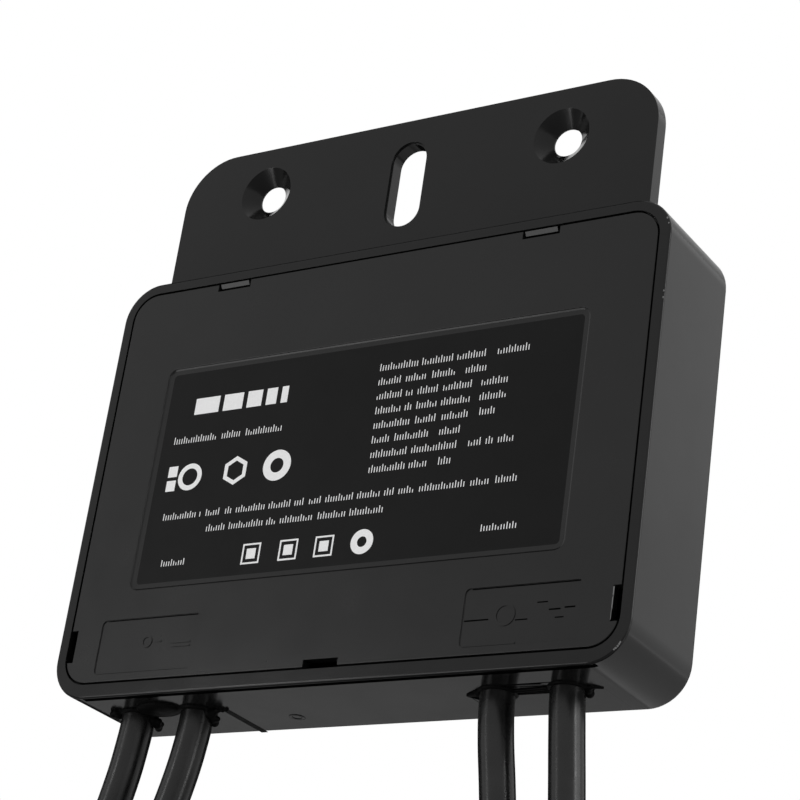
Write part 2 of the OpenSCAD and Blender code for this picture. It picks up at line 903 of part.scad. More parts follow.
// A turned pin, or a turned socket that is open at its end
module connector_contact(at, has_pin) {
    head_z = -nut_l - collar_l;
    body_z = head_z - shell_l;
    tip_z = body_z - mate_l + contact_back;
    socket_r = pin_r + socket_wall;
    color(tinned)
        turned(at)
            if (has_pin)
                polygon([
                    [0, head_z], [pin_r, head_z], [pin_r, tip_z + chamfer],
                    [pin_r - chamfer, tip_z], [0, tip_z]
                ]);
            else
                polygon([
                    [0, head_z], [socket_r, head_z], [socket_r, tip_z], [pin_r, tip_z],
                    [pin_r, body_z], [0, body_z]
                ]);
}

housing();
cover();
label();
clamp(input_x, input_xs, clamp_seam);  // input_clamp
clamp(output_x, output_xs, 0);  // output_clamp
sealant(input_xs);  // input_sealant
sealant(output_xs);  // output_sealant
circuit_board();
board_screws();
heat_spreader();
thermal_pad();
potting_compound();
inductor_core();
inductor_winding();
input_capacitors();
output_capacitors();
power_switches();
bypass_diode();
controller_chip();
driver_chips();
terminals(input_xs);  // input_terminals
terminals(output_xs);  // output_terminals
conductors(input_xs);  // input_conductors
conductors(output_xs);  // output_conductors
input_lead(input_xs[0], input_plus_route);  // input_plus_lead
input_lead(input_xs[1], input_minus_route);  // input_minus_lead
output_lead(output_xs[0], output_plus_route, output_plus_tail);  // output_plus_lead
output_lead(output_xs[1], output_minus_route, output_minus_tail);  // output_minus_lead
coil(plus_coil_x);  // output_plus_coil
coil(minus_coil_x);  // output_minus_coil
ties(plus_coil_x);  // output_plus_ties
ties(minus_coil_x);  // output_minus_ties
gland_nut(input_plus_end);  // input_plus_nut
connector_shell(input_plus_end, true);  // input_plus_shell
connector_contact(input_plus_end, true);  // input_plus_contact
gland_nut(input_minus_end);  // input_minus_nut
connector_shell(input_minus_end, false);  // input_minus_shell
connector_contact(input_minus_end, false);  // input_minus_contact
gland_nut(output_plus_end);  // output_plus_nut
connector_shell(output_plus_end, true);  // output_plus_shell
connector_contact(output_plus_end, true);  // output_plus_contact
gland_nut(output_minus_end);  // output_minus_nut
connector_shell(output_minus_end, false);  // output_minus_shell
connector_contact(output_minus_end, false);  // output_minus_contact
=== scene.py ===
"""Looks of a power optimizer for one solar module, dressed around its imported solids."""
import math

import bpy
from mathutils import Matrix, Vector


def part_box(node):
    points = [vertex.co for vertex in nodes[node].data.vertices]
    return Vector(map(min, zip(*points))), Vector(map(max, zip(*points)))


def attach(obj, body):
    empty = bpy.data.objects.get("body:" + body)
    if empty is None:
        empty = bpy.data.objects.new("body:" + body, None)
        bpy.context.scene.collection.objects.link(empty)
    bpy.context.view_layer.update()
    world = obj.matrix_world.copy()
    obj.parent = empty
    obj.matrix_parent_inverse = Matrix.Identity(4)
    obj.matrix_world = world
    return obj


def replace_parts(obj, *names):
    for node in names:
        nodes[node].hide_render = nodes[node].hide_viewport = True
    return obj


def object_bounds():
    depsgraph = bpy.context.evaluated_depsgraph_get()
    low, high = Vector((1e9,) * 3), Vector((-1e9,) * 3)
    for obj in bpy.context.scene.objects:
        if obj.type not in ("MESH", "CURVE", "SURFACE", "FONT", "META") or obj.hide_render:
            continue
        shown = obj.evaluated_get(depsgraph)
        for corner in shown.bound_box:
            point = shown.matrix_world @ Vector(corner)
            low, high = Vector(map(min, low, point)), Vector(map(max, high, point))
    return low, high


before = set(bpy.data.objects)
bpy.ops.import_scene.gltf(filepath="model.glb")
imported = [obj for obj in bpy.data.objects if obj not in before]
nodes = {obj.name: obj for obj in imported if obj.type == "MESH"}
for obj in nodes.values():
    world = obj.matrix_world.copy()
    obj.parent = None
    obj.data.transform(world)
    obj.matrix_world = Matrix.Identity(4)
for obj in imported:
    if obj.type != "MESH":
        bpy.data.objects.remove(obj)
solid_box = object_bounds()

MM = 0.001
ROOT = "root"

# Main planes of the housing, read from the solids
label_low, label_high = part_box("label")
base_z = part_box("housing")[0].z
front_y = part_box("cover")[0].y
label_y = label_low.y

# Sizes of the housing's front
HALF_W = 66 * MM
BODY_H = 94.5 * MM
CORNER_R = 8.4 * MM

# Leads, as routed in the solids
LEAD_D = 6.8 * MM
LEAD_Y = 3.9 * MM
LEAD_GRIP = 14 * MM
JACKET_END = 9 * MM
LEAD_PITCH = 14.9 * MM
INPUT_X = -43.8 * MM
OUTPUT_X = 40.8 * MM
COIL_R = 40.8 * MM
COIL_TURNS = 4
TURN_STEP = 6.9 * MM
COIL_DROP = 78 * MM
TURN_POINTS = 16
TAIL_Y = LEAD_Y + COIL_TURNS * TURN_STEP


def deselect_all():
    """Leaves edit mode and selects nothing."""
    if bpy.context.object and bpy.context.object.mode != "OBJECT":
        bpy.ops.object.mode_set(mode="OBJECT")
    bpy.ops.object.select_all(action="DESELECT")


def pick(*pieces):
    """Selects these pieces alone, the last one active."""
    deselect_all()
    for piece in pieces:
        piece.select_set(True)
    bpy.context.view_layer.objects.active = pieces[-1]


def apply_place(piece):
    """Moves a piece's place, turn and size into its mesh."""
    pick(piece)
    bpy.ops.object.transform_apply(location=True, rotation=True, scale=True)


def join_as(name, pieces):
    """Joins pieces into one mesh that sits at the origin."""
    pick(*pieces)
    bpy.ops.object.transform_apply(location=True, rotation=True, scale=True)
    bpy.ops.object.join()
    joined = bpy.context.object
    joined.name = name
    joined.data.name = name
    return joined


def dress(piece, material):
    """Gives a new piece its finish and lets it ride on the object."""
    piece.data.materials.clear()
    piece.data.materials.append(material)
    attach(piece, ROOT)
    return piece


# Camera at the photograph's place, with its long lens
CAMERA_PLACE = Vector((267.48, -371.56, -258.65)) * MM
CAMERA_RIGHT = Vector((0.8420, 0.5228, 0.1332))
CAMERA_UP = Vector((0.1157, -0.4161, 0.9019))
CAMERA_BACK = Vector((0.5269, -0.7440, -0.4108))
LENS_MM = 111.95
SENSOR_MM = 36


def add_camera():
    data = bpy.data.cameras.new("camera")
    data.lens = LENS_MM
    data.sensor_width = SENSOR_MM
    data.sensor_fit = "HORIZONTAL"
    data.clip_start = 0.01
    camera = bpy.data.objects.new("camera", data)
    bpy.context.scene.collection.objects.link(camera)
    turn = Matrix((CAMERA_RIGHT, CAMERA_UP, CAMERA_BACK)).transposed()
    camera.matrix_world = Matrix.Translation(CAMERA_PLACE) @ turn.to_4x4()
    bpy.context.scene.camera = camera


add_camera()


# Material building blocks
class Finish:
    """A node material with one Principled shader and patterns on Object coordinates."""

    def __init__(self, name):
        self.material = bpy.data.materials.new(name)
        self.material.use_nodes = True
        self.tree = self.material.node_tree
        self.shader = self.tree.nodes["Principled BSDF"]
        self.place = self.tree.nodes.new("ShaderNodeTexCoord").outputs["Object"]

    def set(self, **values):
        """Sets sockets of the shader: set(Roughness=0.4, Specular_IOR_Level=0.3)."""
        for name, value in values.items():
            self.shader.inputs[name.replace("_", " ")].default_value = value

    def stretched(self, scale):
        mapping = self.tree.nodes.new("ShaderNodeMapping")
        mapping.inputs["Scale"].default_value = scale
        self.tree.links.new(self.place, mapping.inputs["Vector"])
        return mapping.outputs["Vector"]

    def noise(self, size, detail=2.0, roughness=0.5, stretch=None):
        """Noise with grains of about that size in metres."""
        node = self.tree.nodes.new("ShaderNodeTexNoise")
        node.inputs["Scale"].default_value = 1 / size
        node.inputs["Detail"].default_value = detail
        node.inputs["Roughness"].default_value = roughness
        self.tree.links.new(self.stretched(stretch) if stretch else self.place, node.inputs["Vector"])
        return node.outputs["Fac"]

    def ramp(self, factor, stops):
        """Colours or grey levels along a factor."""
        node = self.tree.nodes.new("ShaderNodeValToRGB")
        elements = node.color_ramp.elements
        while len(elements) < len(stops):
            elements.new(0.5)
        for element, (place, colour) in zip(elements, stops):
            element.position = place
            element.color = (*colour, 1) if hasattr(colour, "__len__") else (colour, colour, colour, 1)
        self.tree.links.new(factor, node.inputs["Fac"])
        return node.outputs["Color"]

    def colour(self, output):
        self.tree.links.new(output, self.shader.inputs["Base Color"])

    def roughness(self, output):
        self.tree.links.new(output, self.shader.inputs["Roughness"])

    def bump(self, output, depth, strength=1.0):
        """Raises the surface by a pattern, to a depth in metres."""
        node = self.tree.nodes.new("ShaderNodeBump")
        node.inputs["Distance"].default_value = depth
        node.inputs["Strength"].default_value = strength
        before = self.shader.inputs["Normal"].links
        if before:
            self.tree.links.new(before[0].from_socket, node.inputs["Normal"])
        self.tree.links.new(output, node.inputs["Height"])
        self.tree.links.new(node.outputs["Normal"], self.shader.inputs["Normal"])


def grained_plastic(name, dark, light, smooth, rough, specular):
    """Black moulded plastic: cloudy tone, fine grain and slight unevenness of gloss."""
    finish = Finish(name)
    finish.set(Specular_IOR_Level=specular)
    clouds = finish.noise(22 * MM, detail=3)
    finish.colour(finish.ramp(clouds, [(0.3, dark), (0.7, light)]))
    finish.roughness(finish.ramp(finish.noise(9 * MM, detail=4), [(0.3, smooth), (0.7, rough)]))
    finish.bump(finish.noise(0.35 * MM, detail=1), 0.010 * MM, 0.4)
    finish.bump(finish.noise(30 * MM, detail=1), 0.02 * MM, 0.3)
    return finish.material


def label_film():
    finish = Finish("label_film")
    finish.set(Specular_IOR_Level=0.11)
    finish.colour(finish.ramp(finish.noise(14 * MM), [(0.3, 0.0025), (0.7, 0.0036)]))
    finish.roughness(finish.ramp(finish.noise(5 * MM), [(0.3, 0.38), (0.7, 0.46)]))
    finish.bump(finish.noise(0.25 * MM), 0.004 * MM, 0.4)
    return finish.material


def print_ink():
    finish = Finish("print_ink")
    finish.set(Specular_IOR_Level=0.5)
    finish.colour(finish.ramp(finish.noise(0.5 * MM), [(0.3, 0.93), (0.7, 0.98)]))
    finish.roughness(finish.ramp(finish.noise(0.8 * MM), [(0.3, 0.5), (0.7, 0.6)]))
    return finish.material


def cable_jacket():
    """Extruded jacket: fine lines along the lead, a little cloudy gloss."""
    finish = Finish("cable_jacket")
    finish.set(Specular_IOR_Level=0.27)
    finish.colour(finish.ramp(finish.noise(6 * MM, detail=3), [(0.3, 0.006), (0.7, 0.011)]))
    finish.roughness(finish.ramp(finish.noise(3 * MM, detail=3), [(0.3, 0.22), (0.7, 0.32)]))
    finish.bump(finish.noise(0.5 * MM, stretch=(1, 1, 0.06)), 0.02 * MM, 0.4)
    return finish.material


def sealant_rubber():
    finish = Finish("sealant_rubber")
    finish.set(Specular_IOR_Level=0.04)
    finish.colour(finish.ramp(finish.noise(1.2 * MM), [(0.3, 0.0015), (0.7, 0.003)]))
    finish.roughness(finish.ramp(finish.noise(1.5 * MM), [(0.3, 0.4), (0.7, 0.55)]))
    finish.bump(finish.noise(0.7 * MM, detail=3), 0.08 * MM, 0.5)
    return finish.material


def matt_compound(name, dark, light, grain, rough=0.6):
    """Cast, pressed or moulded inner material with a visible grain."""
    finish = Finish(name)
    finish.set(Specular_IOR_Level=0.3)
    finish.colour(finish.ramp(finish.noise(grain, detail=4), [(0.3, dark), (0.7, light)]))
    finish.roughness(finish.ramp(finish.noise(grain * 3), [(0.3, rough - 0.08), (0.7, rough + 0.08)]))
    finish.bump(finish.noise(grain), 0.03 * MM, 0.4)
    return finish.material


def bare_metal(name, dark, light, stretch, rough):
    """Metal with drawn or rolled lines."""
    finish = Finish(name)
    finish.set(Metallic=1.0)
    finish.colour(finish.ramp(finish.noise(4 * MM, detail=3), [(0.3, dark), (0.7, light)]))
    lines = finish.noise(0.3 * MM, detail=2, stretch=stretch)
    finish.roughness(finish.ramp(lines, [(0.3, rough - 0.07), (0.7, rough + 0.07)]))
    finish.bump(lines, 0.004 * MM, 0.4)
    return finish.material


def solder_mask():
    """Green board lacquer over faint copper tracks."""
    finish = Finish("solder_mask")
    finish.set(Specular_IOR_Level=0.5)
    tracks = finish.tree.nodes.new("ShaderNodeTexBrick")
    tracks.inputs["Scale"].default_value = 1 / (6 * MM)
    tracks.inputs["Mortar Size"].default_value = 0.03
    tracks.inputs["Color1"].default_value = (0.012, 0.09, 0.04, 1)
    tracks.inputs["Color2"].default_value = (0.015, 0.11, 0.05, 1)
    tracks.inputs["Mortar"].default_value = (0.03, 0.17, 0.08, 1)
    finish.tree.links.new(finish.stretched((1, 0.0, 1)), tracks.inputs["Vector"])
    finish.colour(tracks.outputs["Color"])
    finish.roughness(finish.ramp(finish.noise(3 * MM), [(0.3, 0.25), (0.7, 0.38)]))
    return finish.material


housing_finish = grained_plastic("moulded_housing", 0.0042, 0.0060, 0.13, 0.20, 0.20)
cover_finish = grained_plastic("moulded_cover", 0.0055, 0.0075, 0.20, 0.28, 0.24)
connector_finish = grained_plastic("connector_black", 0.006, 0.009, 0.36, 0.48, 0.3)
tie_finish = grained_plastic("tie_nylon", 0.008, 0.012, 0.42, 0.55, 0.3)
# Pure black without gloss: painted shade for the flat bars that stand for the dark insides of grooves and the
# shadow under the rim
groove_shade_finish = grained_plastic("painted_groove_shade", 0.001, 0.002, 0.5, 0.6, 0.0)
# Light grey plastic for marks on the right edges: partly wear, partly painted highlights
wear_and_highlight_finish = grained_plastic("wear_and_highlight_plastic", 0.16, 0.24, 0.5, 0.6, 0.1)
label_finish = label_film()
ink_finish = print_ink()
jacket_finish = cable_jacket()
sealant_finish = sealant_rubber()
copper_finish = bare_metal("copper_wire", (0.62, 0.27, 0.13), (0.75, 0.36, 0.2), (1, 0.1, 1), 0.3)
tinned_finish = bare_metal("tinned_contact", (0.5, 0.5, 0.47), (0.66, 0.65, 0.61), (1, 1, 0.1), 0.28)
zinc_finish = bare_metal("zinc_screw", (0.5, 0.51, 0.54), (0.62, 0.62, 0.64), (1, 0.1, 1), 0.32)
sheet_finish = bare_metal("rolled_aluminium", (0.62, 0.63, 0.65), (0.74, 0.74, 0.76), (0.05, 1, 1), 0.34)
pad_finish = matt_compound("silicone_pad", (0.25, 0.3, 0.35), (0.33, 0.39, 0.44), 0.6 * MM, 0.7)
resin_finish = matt_compound("cast_resin", (0.03, 0.03, 0.034), (0.05, 0.05, 0.056), 2 * MM, 0.4)
core_finish = matt_compound("powder_core", (0.06, 0.07, 0.06), (0.1, 0.11, 0.1), 0.4 * MM, 0.6)
sleeve_finish = matt_compound("capacitor_sleeve", (0.02, 0.024, 0.04), (0.03, 0.034, 0.05), 3 * MM, 0.3)
film_finish = matt_compound("film_case", (0.33, 0.04, 0.03), (0.42, 0.06, 0.05), 3 * MM, 0.35)
chip_finish = matt_compound("chip_epoxy", (0.014, 0.014, 0.015), (0.022, 0.022, 0.023), 0.3 * MM, 0.55)
board_finish = solder_mask()

# Which finish each solid shows
NODE_FINISHES = {
    "housing": housing_finish, "cover": cover_finish, "label": label_finish,
    "input_clamp": housing_finish, "output_clamp": housing_finish,
    "input_sealant": sealant_finish, "output_sealant": sealant_finish,
    "circuit_board": board_finish, "board_screws": zinc_finish, "heat_spreader": sheet_finish,
    "thermal_pad": pad_finish, "potting_compound": resin_finish,
    "inductor_core": core_finish, "inductor_winding": copper_finish,
    "input_capacitors": sleeve_finish, "output_capacitors": film_finish,
    "power_switches": chip_finish, "bypass_diode": chip_finish,
    "controller_chip": chip_finish, "driver_chips": chip_finish,
    "input_terminals": tinned_finish, "output_terminals": tinned_finish,
    "input_conductors": copper_finish, "output_conductors": copper_finish,
    "output_plus_ties": tie_finish, "output_minus_ties": tie_finish,
}
LEAD_NAMES = ("input_plus", "input_minus", "output_plus", "output_minus")
for lead_name in LEAD_NAMES:
    NODE_FINISHES[lead_name + "_nut"] = connector_finish
    NODE_FINISHES[lead_name + "_shell"] = connector_finish
    NODE_FINISHES[lead_name + "_contact"] = tinned_finish

for node_name, finish_material in NODE_FINISHES.items():
    node_mesh = nodes[node_name].data
    node_mesh.materials.clear()
    node_mesh.materials.append(finish_material)


# Leads: shift to the right of the exit and drop below the base, in millimetres
INPUT_PLUS_ROUTE = [
    (0, 2), (-0.3, 6), (-1.4, 14), (-4.4, 26), (-9.4, 39), (-14.4, 52), (-19.4, 65), (-23.4, 79),
    (-26.4, 93), (-28.4, 108), (-29.4, 124), (-29.4, 140),
]
INPUT_MINUS_ROUTE = [
    (0, 2), (-0.3, 6), (-1.6, 14), (-4.8, 26), (-8.6, 38), (-12.6, 51), (-15.6, 64), (-17.6, 78),
    (-18.6, 93), (-19, 108), (-19.1, 124), (-19.1, 140),
]
OUTPUT_PLUS_ROUTE = [(0, 2), (0.6, 8), (2.4, 19), (4, 30), (4.6, 42)]
OUTPUT_MINUS_ROUTE = [(0, 2), (0.6, 8), (1.9, 19), (3.1, 30), (3.7, 42)]
OUTPUT_PLUS_TAIL = [(4.3, 110), (3.1, 124), (1.5, 138), (0.3, 152), (0.1, 168)]
OUTPUT_MINUS_TAIL = [(4, 110), (5.2, 124), (6.8, 138), (8, 152), (8.2, 168)]


def hang(x, y, route):
    """Points of a route in the frame."""
    return [Vector((x + shift * MM, y, base_z - drop * MM)) for shift, drop in route]


def inner_stretch(x):
    return [Vector((x, LEAD_Y, base_z + JACKET_END)), Vector((x, LEAD_Y, base_z))]


def gripped(points):
    """Adds the end that sits in the connector."""
    return points + [points[-1] - Vector((0, 0, LEAD_GRIP))]


def coil_turns(lane_x, side):
    """Turns of a coil that lies to one side of the lane, entered and left going down."""
    steps = COIL_TURNS * TURN_POINTS
    centre_x = lane_x + side * COIL_R
    points = []
    for step in range(steps + 1):
        angle = 2 * math.pi * step / TURN_POINTS
        points.append(Vector((
            centre_x - side * COIL_R * math.cos(angle),
            LEAD_Y + TURN_STEP * step / TURN_POINTS,
            base_z - COIL_DROP - COIL_R * math.sin(angle),
        )))
    return points


def add_lead(name, points):
    """A lead as one smooth curve through its points."""
    curve = bpy.data.curves.new(name, "CURVE")
    curve.dimensions = "3D"
    curve.bevel_depth = LEAD_D / 2
    curve.bevel_resolution = 6
    curve.resolution_u = 6
    curve.use_fill_caps = True
    spline = curve.splines.new("BEZIER")
    spline.bezier_points.add(len(points) - 1)
    for knot, point in zip(spline.bezier_points, points):
        knot.co = point
        knot.handle_left_type = "AUTO"
        knot.handle_right_type = "AUTO"
    lead = bpy.data.objects.new(name, curve)
    bpy.context.scene.collection.objects.link(lead)
    return lead


def declare_lead(name, points, replaced):
    lead = dress(add_lead(name + "_cable", points), jacket_finish)
    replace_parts(lead, *replaced)


def add_leads():
    input_xs = (INPUT_X - LEAD_PITCH / 2, INPUT_X + LEAD_PITCH / 2)
    output_xs = (OUTPUT_X - LEAD_PITCH / 2, OUTPUT_X + LEAD_PITCH / 2)
    for name, x, route in zip(LEAD_NAMES[:2], input_xs, (INPUT_PLUS_ROUTE, INPUT_MINUS_ROUTE)):
        points = gripped(inner_stretch(x) + hang(x, LEAD_Y, route))
        declare_lead(name, points, [name + "_lead"])
    coils = (
        (LEAD_NAMES[2], output_xs[0], OUTPUT_PLUS_ROUTE, OUTPUT_PLUS_TAIL, -1),
        (LEAD_NAMES[3], output_xs[1], OUTPUT_MINUS_ROUTE, OUTPUT_MINUS_TAIL, 1),
    )
    for name, x, route, tail, side in coils:
        lane_x = x + route[-1][0] * MM
        points = inner_stretch(x) + hang(x, LEAD_Y, route) + coil_turns(lane_x, side)
        points = gripped(points + hang(x, TAIL_Y, tail))
        declare_lead(name, points, [name + "_lead", name + "_coil"])


add_leads()


# Housing, cover and clamps with softened edges
SHARP_DEG = 35
HOUSING_EDGE = 0.3 * MM
COVER_EDGE = 0.42 * MM
CLAMP_EDGE = 0.2 * MM
DRIP_EDGE_SHARE = 0.2
PANEL_EDGE_SHARE = 0.28
PICK_SPARE = 0.1 * MM

# Shallow sunk panels in the cover's lower corners
PANEL_X = 43.1 * MM
PANEL_RISE = 10.7 * MM
PANEL_W = 25 * MM
PANEL_H = 11.6 * MM
PANEL_DEPTH = 0.25 * MM

# Catch tongues in the latch notches, and how far they are drawn back
TONGUE_X = 37.3 * MM
TONGUE_HALF = 3.85 * MM
TONGUE_DEEP = 6 * MM
TONGUE_FOOT = base_z + 90.45 * MM
TONGUE_TOP = base_z + 91.85 * MM
FOOT_FORWARD = 0.31 * MM
FOOT_UP = 0.55 * MM
END_BACK = 0.45 * MM


def inside(point, boxes):
    """Whether a point lies in any of these boxes, each given by its low and high corner."""
    return any(all(low[i] <= point[i] <= high[i] for i in range(3)) for low, high in boxes)


def weigh_edges(piece, fine_boxes, fine_share):
    """Gives the sharp edges their share of the bevel: a small one in the boxes, a full one elsewhere."""
    bpy.ops.object.mode_set(mode="EDIT")
    bpy.ops.mesh.select_mode(type="EDGE")
    bpy.ops.mesh.select_all(action="DESELECT")
    bpy.ops.mesh.edges_select_sharp(sharpness=math.radians(SHARP_DEG))
    bpy.ops.transform.edge_bevelweight(value=1)
    bpy.ops.object.mode_set(mode="OBJECT")
    points = piece.data.vertices
    for edge in piece.data.edges:
        ends = [points[i].co for i in edge.vertices]
        edge.select = edge.select and all(inside(end, fine_boxes) for end in ends)
    bpy.ops.object.mode_set(mode="EDIT")
    bpy.ops.transform.edge_bevelweight(value=fine_share - 1)
    bpy.ops.object.mode_set(mode="OBJECT")


def move_points(piece, box, shift):
    """Moves the points of a mesh that lie in a box."""
    bpy.ops.object.mode_set(mode="EDIT")
    bpy.ops.mesh.select_mode(type="VERT")
    bpy.ops.mesh.select_all(action="DESELECT")
    bpy.ops.object.mode_set(mode="OBJECT")
    for point in piece.data.vertices:
        point.select = inside(point.co, [box])
    bpy.ops.object.mode_set(mode="EDIT")
    bpy.ops.transform.translate(value=shift)
    bpy.ops.object.mode_set(mode="OBJECT")


def softened_copy(node, name, width, segments, fine_boxes=(), fine_share=1.0, trims=()):
    """A copy of a solid with whole faces and small round edges, some points of it moved first."""
    piece = bpy.data.objects.new(name, nodes[node].data.copy())
    piece.data.name = name
    bpy.context.scene.collection.objects.link(piece)
    pick(piece)
    bpy.ops.mesh.customdata_custom_splitnormals_clear()
    bpy.ops.object.mode_set(mode="EDIT")
    bpy.ops.mesh.select_all(action="SELECT")
    bpy.ops.mesh.remove_doubles(threshold=0.001 * MM)
    bpy.ops.mesh.dissolve_limited(angle_limit=math.radians(0.5))
    bpy.ops.object.mode_set(mode="OBJECT")
    bpy.ops.object.shade_smooth()
    for box, shift in trims:
        move_points(piece, box, shift)
    weigh_edges(piece, fine_boxes, fine_share)
    edge = piece.modifiers.new("edge", "BEVEL")
    edge.width = width
    edge.segments = segments
    edge.limit_method = "WEIGHT"
    bpy.ops.object.modifier_apply(modifier="edge")
    flat = piece.modifiers.new("flat", "WEIGHTED_NORMAL")
    flat.mode = "FACE_AREA"
    flat.weight = 100
    bpy.ops.object.modifier_apply(modifier="flat")
    return piece


def panel_boxes():
    """Boxes round the sunk panels."""
    half_w, half_h = PANEL_W / 2 + PICK_SPARE, PANEL_H / 2 + PICK_SPARE
    middle_z = base_z + PANEL_RISE
    boxes = []
    for x in (-PANEL_X, PANEL_X):
        low = (x - half_w, front_y - PICK_SPARE, middle_z - half_h)
        high = (x + half_w, front_y + PANEL_DEPTH + PICK_SPARE, middle_z + half_h)
        boxes.append((low, high))
    return boxes


def drip_box():
    """Box round the narrow groove under the rim."""
    return ((-65 * MM, front_y, base_z - 0.1 * MM), (65 * MM, front_y + 1.5 * MM, base_z + 0.6 * MM))


def tongue_trims():
    """Draws the catch tongues' foot and right end back a little, so that a dark gap shows round them."""
    trims = []
    deep = front_y + TONGUE_DEEP
    low, high = TONGUE_FOOT - PICK_SPARE, TONGUE_FOOT + PICK_SPARE
    for x in (-TONGUE_X, TONGUE_X):
        left, right = x - TONGUE_HALF - PICK_SPARE, x + TONGUE_HALF + PICK_SPARE
        lip = ((left, front_y + 0.8 * MM, low), (right, front_y + 1.2 * MM, high))
        foot = ((left, front_y, low), (right, deep, high))
        end = ((right - 2 * PICK_SPARE, front_y, low), (right, deep, TONGUE_TOP + PICK_SPARE))
        trims.append((lip, (0, -FOOT_FORWARD, 0)))
        trims.append((foot, (0, 0, FOOT_UP)))
        trims.append((end, (-END_BACK, 0, 0)))
    return trims


housing_skin = softened_copy(
    "housing", "housing_skin", HOUSING_EDGE, 3, [drip_box()], DRIP_EDGE_SHARE, tongue_trims())
dress(housing_skin, housing_finish)
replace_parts(housing_skin, "housing")
cover_skin = softened_copy("cover", "cover_skin", COVER_EDGE, 3, panel_boxes(), PANEL_EDGE_SHARE)
dress(cover_skin, cover_finish)
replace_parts(cover_skin, "cover")
for clamp_name in ("input_clamp", "output_clamp"):
    clamp_skin = softened_copy(clamp_name, clamp_name + "_skin", CLAMP_EDGE, 2)
    dress(clamp_skin, housing_finish)
    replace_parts(clamp_skin, clamp_name)


# Sealant squeezed out round the leads
SMEAR_T = 0.06
SMEAR_DROP = 0.02
CLAMP_SEAM = (-29.6, 11.0, 1.6, 14.0)

# Lumps beside the two input leads, from each lead's middle: right, behind, below, radius
INPUT_LUMPS = (
    ((-3.8, -1.9, 0.2, 1.2), (-4.4, -2.8, 0.5, 0.8), (-3.5, -3.1, 0.3, 0.7), (-4.9, -2.0, 0.5, 0.6),
     (3.3, 0.6, 1.1, 1.2), (3.9, 1.6, 1.7, 1.0), (3.5, 2.6, 2.1, 0.8), (4.6, 1.0, 1.3, 0.7),
     (4.2, 2.4, 1.4, 0.6)),
    ((3.4, -0.6, 0.8, 1.1), (3.7, 0.6, 1.5, 1.0), (3.4, 1.7, 2.0, 0.9), (4.4, -0.4, 0.6, 0.8),
     (4.5, 1.0, 1.5, 0.6), (5.4, -0.5, 0.2, 0.6), (6.4, -0.3, 0.2, 0.5), (7.3, -0.2, 0.1, 0.5)),
)


def sealant_point(x, y, drop):
    """A place right of the middle, behind the origin and below the base, in millimetres."""
    return Vector((x * MM, y * MM, base_z - drop * MM))


def blob(x, y, drop, r, shape=(1, 1, 1)):
    """A lump of sealant."""
    bpy.ops.mesh.primitive_uv_sphere_add(
        segments=20, ring_count=12, radius=r * MM, location=sealant_point(x, y, drop))
    piece = bpy.context.object
    piece.scale = shape
    apply_place(piece)
    return piece


def collar(x, y, major, minor):
    """A ring of sealant round a lead."""
    bpy.ops.mesh.primitive_torus_add(
        major_radius=major * MM, minor_radius=minor * MM, major_segments=40, minor_segments=12,
        location=sealant_point(x, y, 0))
    piece = bpy.context.object
    apply_place(piece)
    return piece


def thread(start, end, r_start, r_end):
    """A thread of sealant that tapers from one point to another."""
    a, b = sealant_point(*start), sealant_point(*end)
    bpy.ops.mesh.primitive_cone_add(
        vertices=16, radius1=r_start * MM, radius2=r_end * MM, depth=(b - a).length,
        location=(a + b) / 2, rotation=(b - a).to_track_quat("Z", "Y").to_euler())
    piece = bpy.context.object
    apply_place(piece)
    return piece


def smear(x, y, w, d):
    """A thin smear of sealant on the base, given by its middle."""
    bpy.ops.mesh.primitive_cube_add(size=1, location=sealant_point(x, y, SMEAR_DROP))
    piece = bpy.context.object
    piece.scale = (w * MM, d * MM, SMEAR_T * MM)
    apply_place(piece)
    return piece


def fused(name, pieces, smears, voxel, rounds):
    """Joins lumps of sealant into one soft piece that ends flat at the housing's base, with its smears."""
    lump = join_as(name, pieces)
    melt = lump.modifiers.new("melt", "REMESH")
    melt.mode = "VOXEL"
    melt.voxel_size = voxel
    bpy.ops.object.modifier_apply(modifier="melt")
    ease = lump.modifiers.new("ease", "SMOOTH")
    ease.factor = 0.5
    ease.iterations = rounds
    bpy.ops.object.modifier_apply(modifier="ease")
    bpy.ops.object.mode_set(mode="EDIT")
    bpy.ops.mesh.select_all(action="SELECT")
    bpy.ops.mesh.bisect(plane_co=(0, 0, base_z), plane_no=(0, 0, 1), clear_outer=True, use_fill=True)
    bpy.ops.object.mode_set(mode="OBJECT")
    bpy.ops.object.shade_smooth()
    lump = join_as(name, [*smears, lump])
    dress(lump, sealant_finish)
    return lump


def add_input_sealant(xs):
    deselect_all()
    y = LEAD_Y / MM
    pieces = []
    for x, lumps in zip(xs, INPUT_LUMPS):
        pieces.append(collar(x, y, 3.5, 0.6))
        for right, behind, drop, r in lumps:
            pieces.append(blob(x + right, y + behind, drop, r))
    middle_x = (xs[0] + xs[1]) / 2
    # The wide flat lump between the input leads fills a black band that is partly sealant and partly painted
    # shade
    pieces.append(blob(middle_x, y - 3.0, 0.1, 5.0, (1.05, 0.75, 0.24)))
    pieces.append(blob(middle_x - 1.5, y - 3.4, 0.2, 2.6, (1, 0.7, 0.4)))
    pieces.append(blob(middle_x + 1.7, y - 3.0, 0.2, 2.8, (1, 0.7, 0.35)))
    seam = smear(*CLAMP_SEAM)
    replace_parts(fused("input_sealant_lumps", pieces, [seam], 0.2 * MM, 2), "input_sealant")


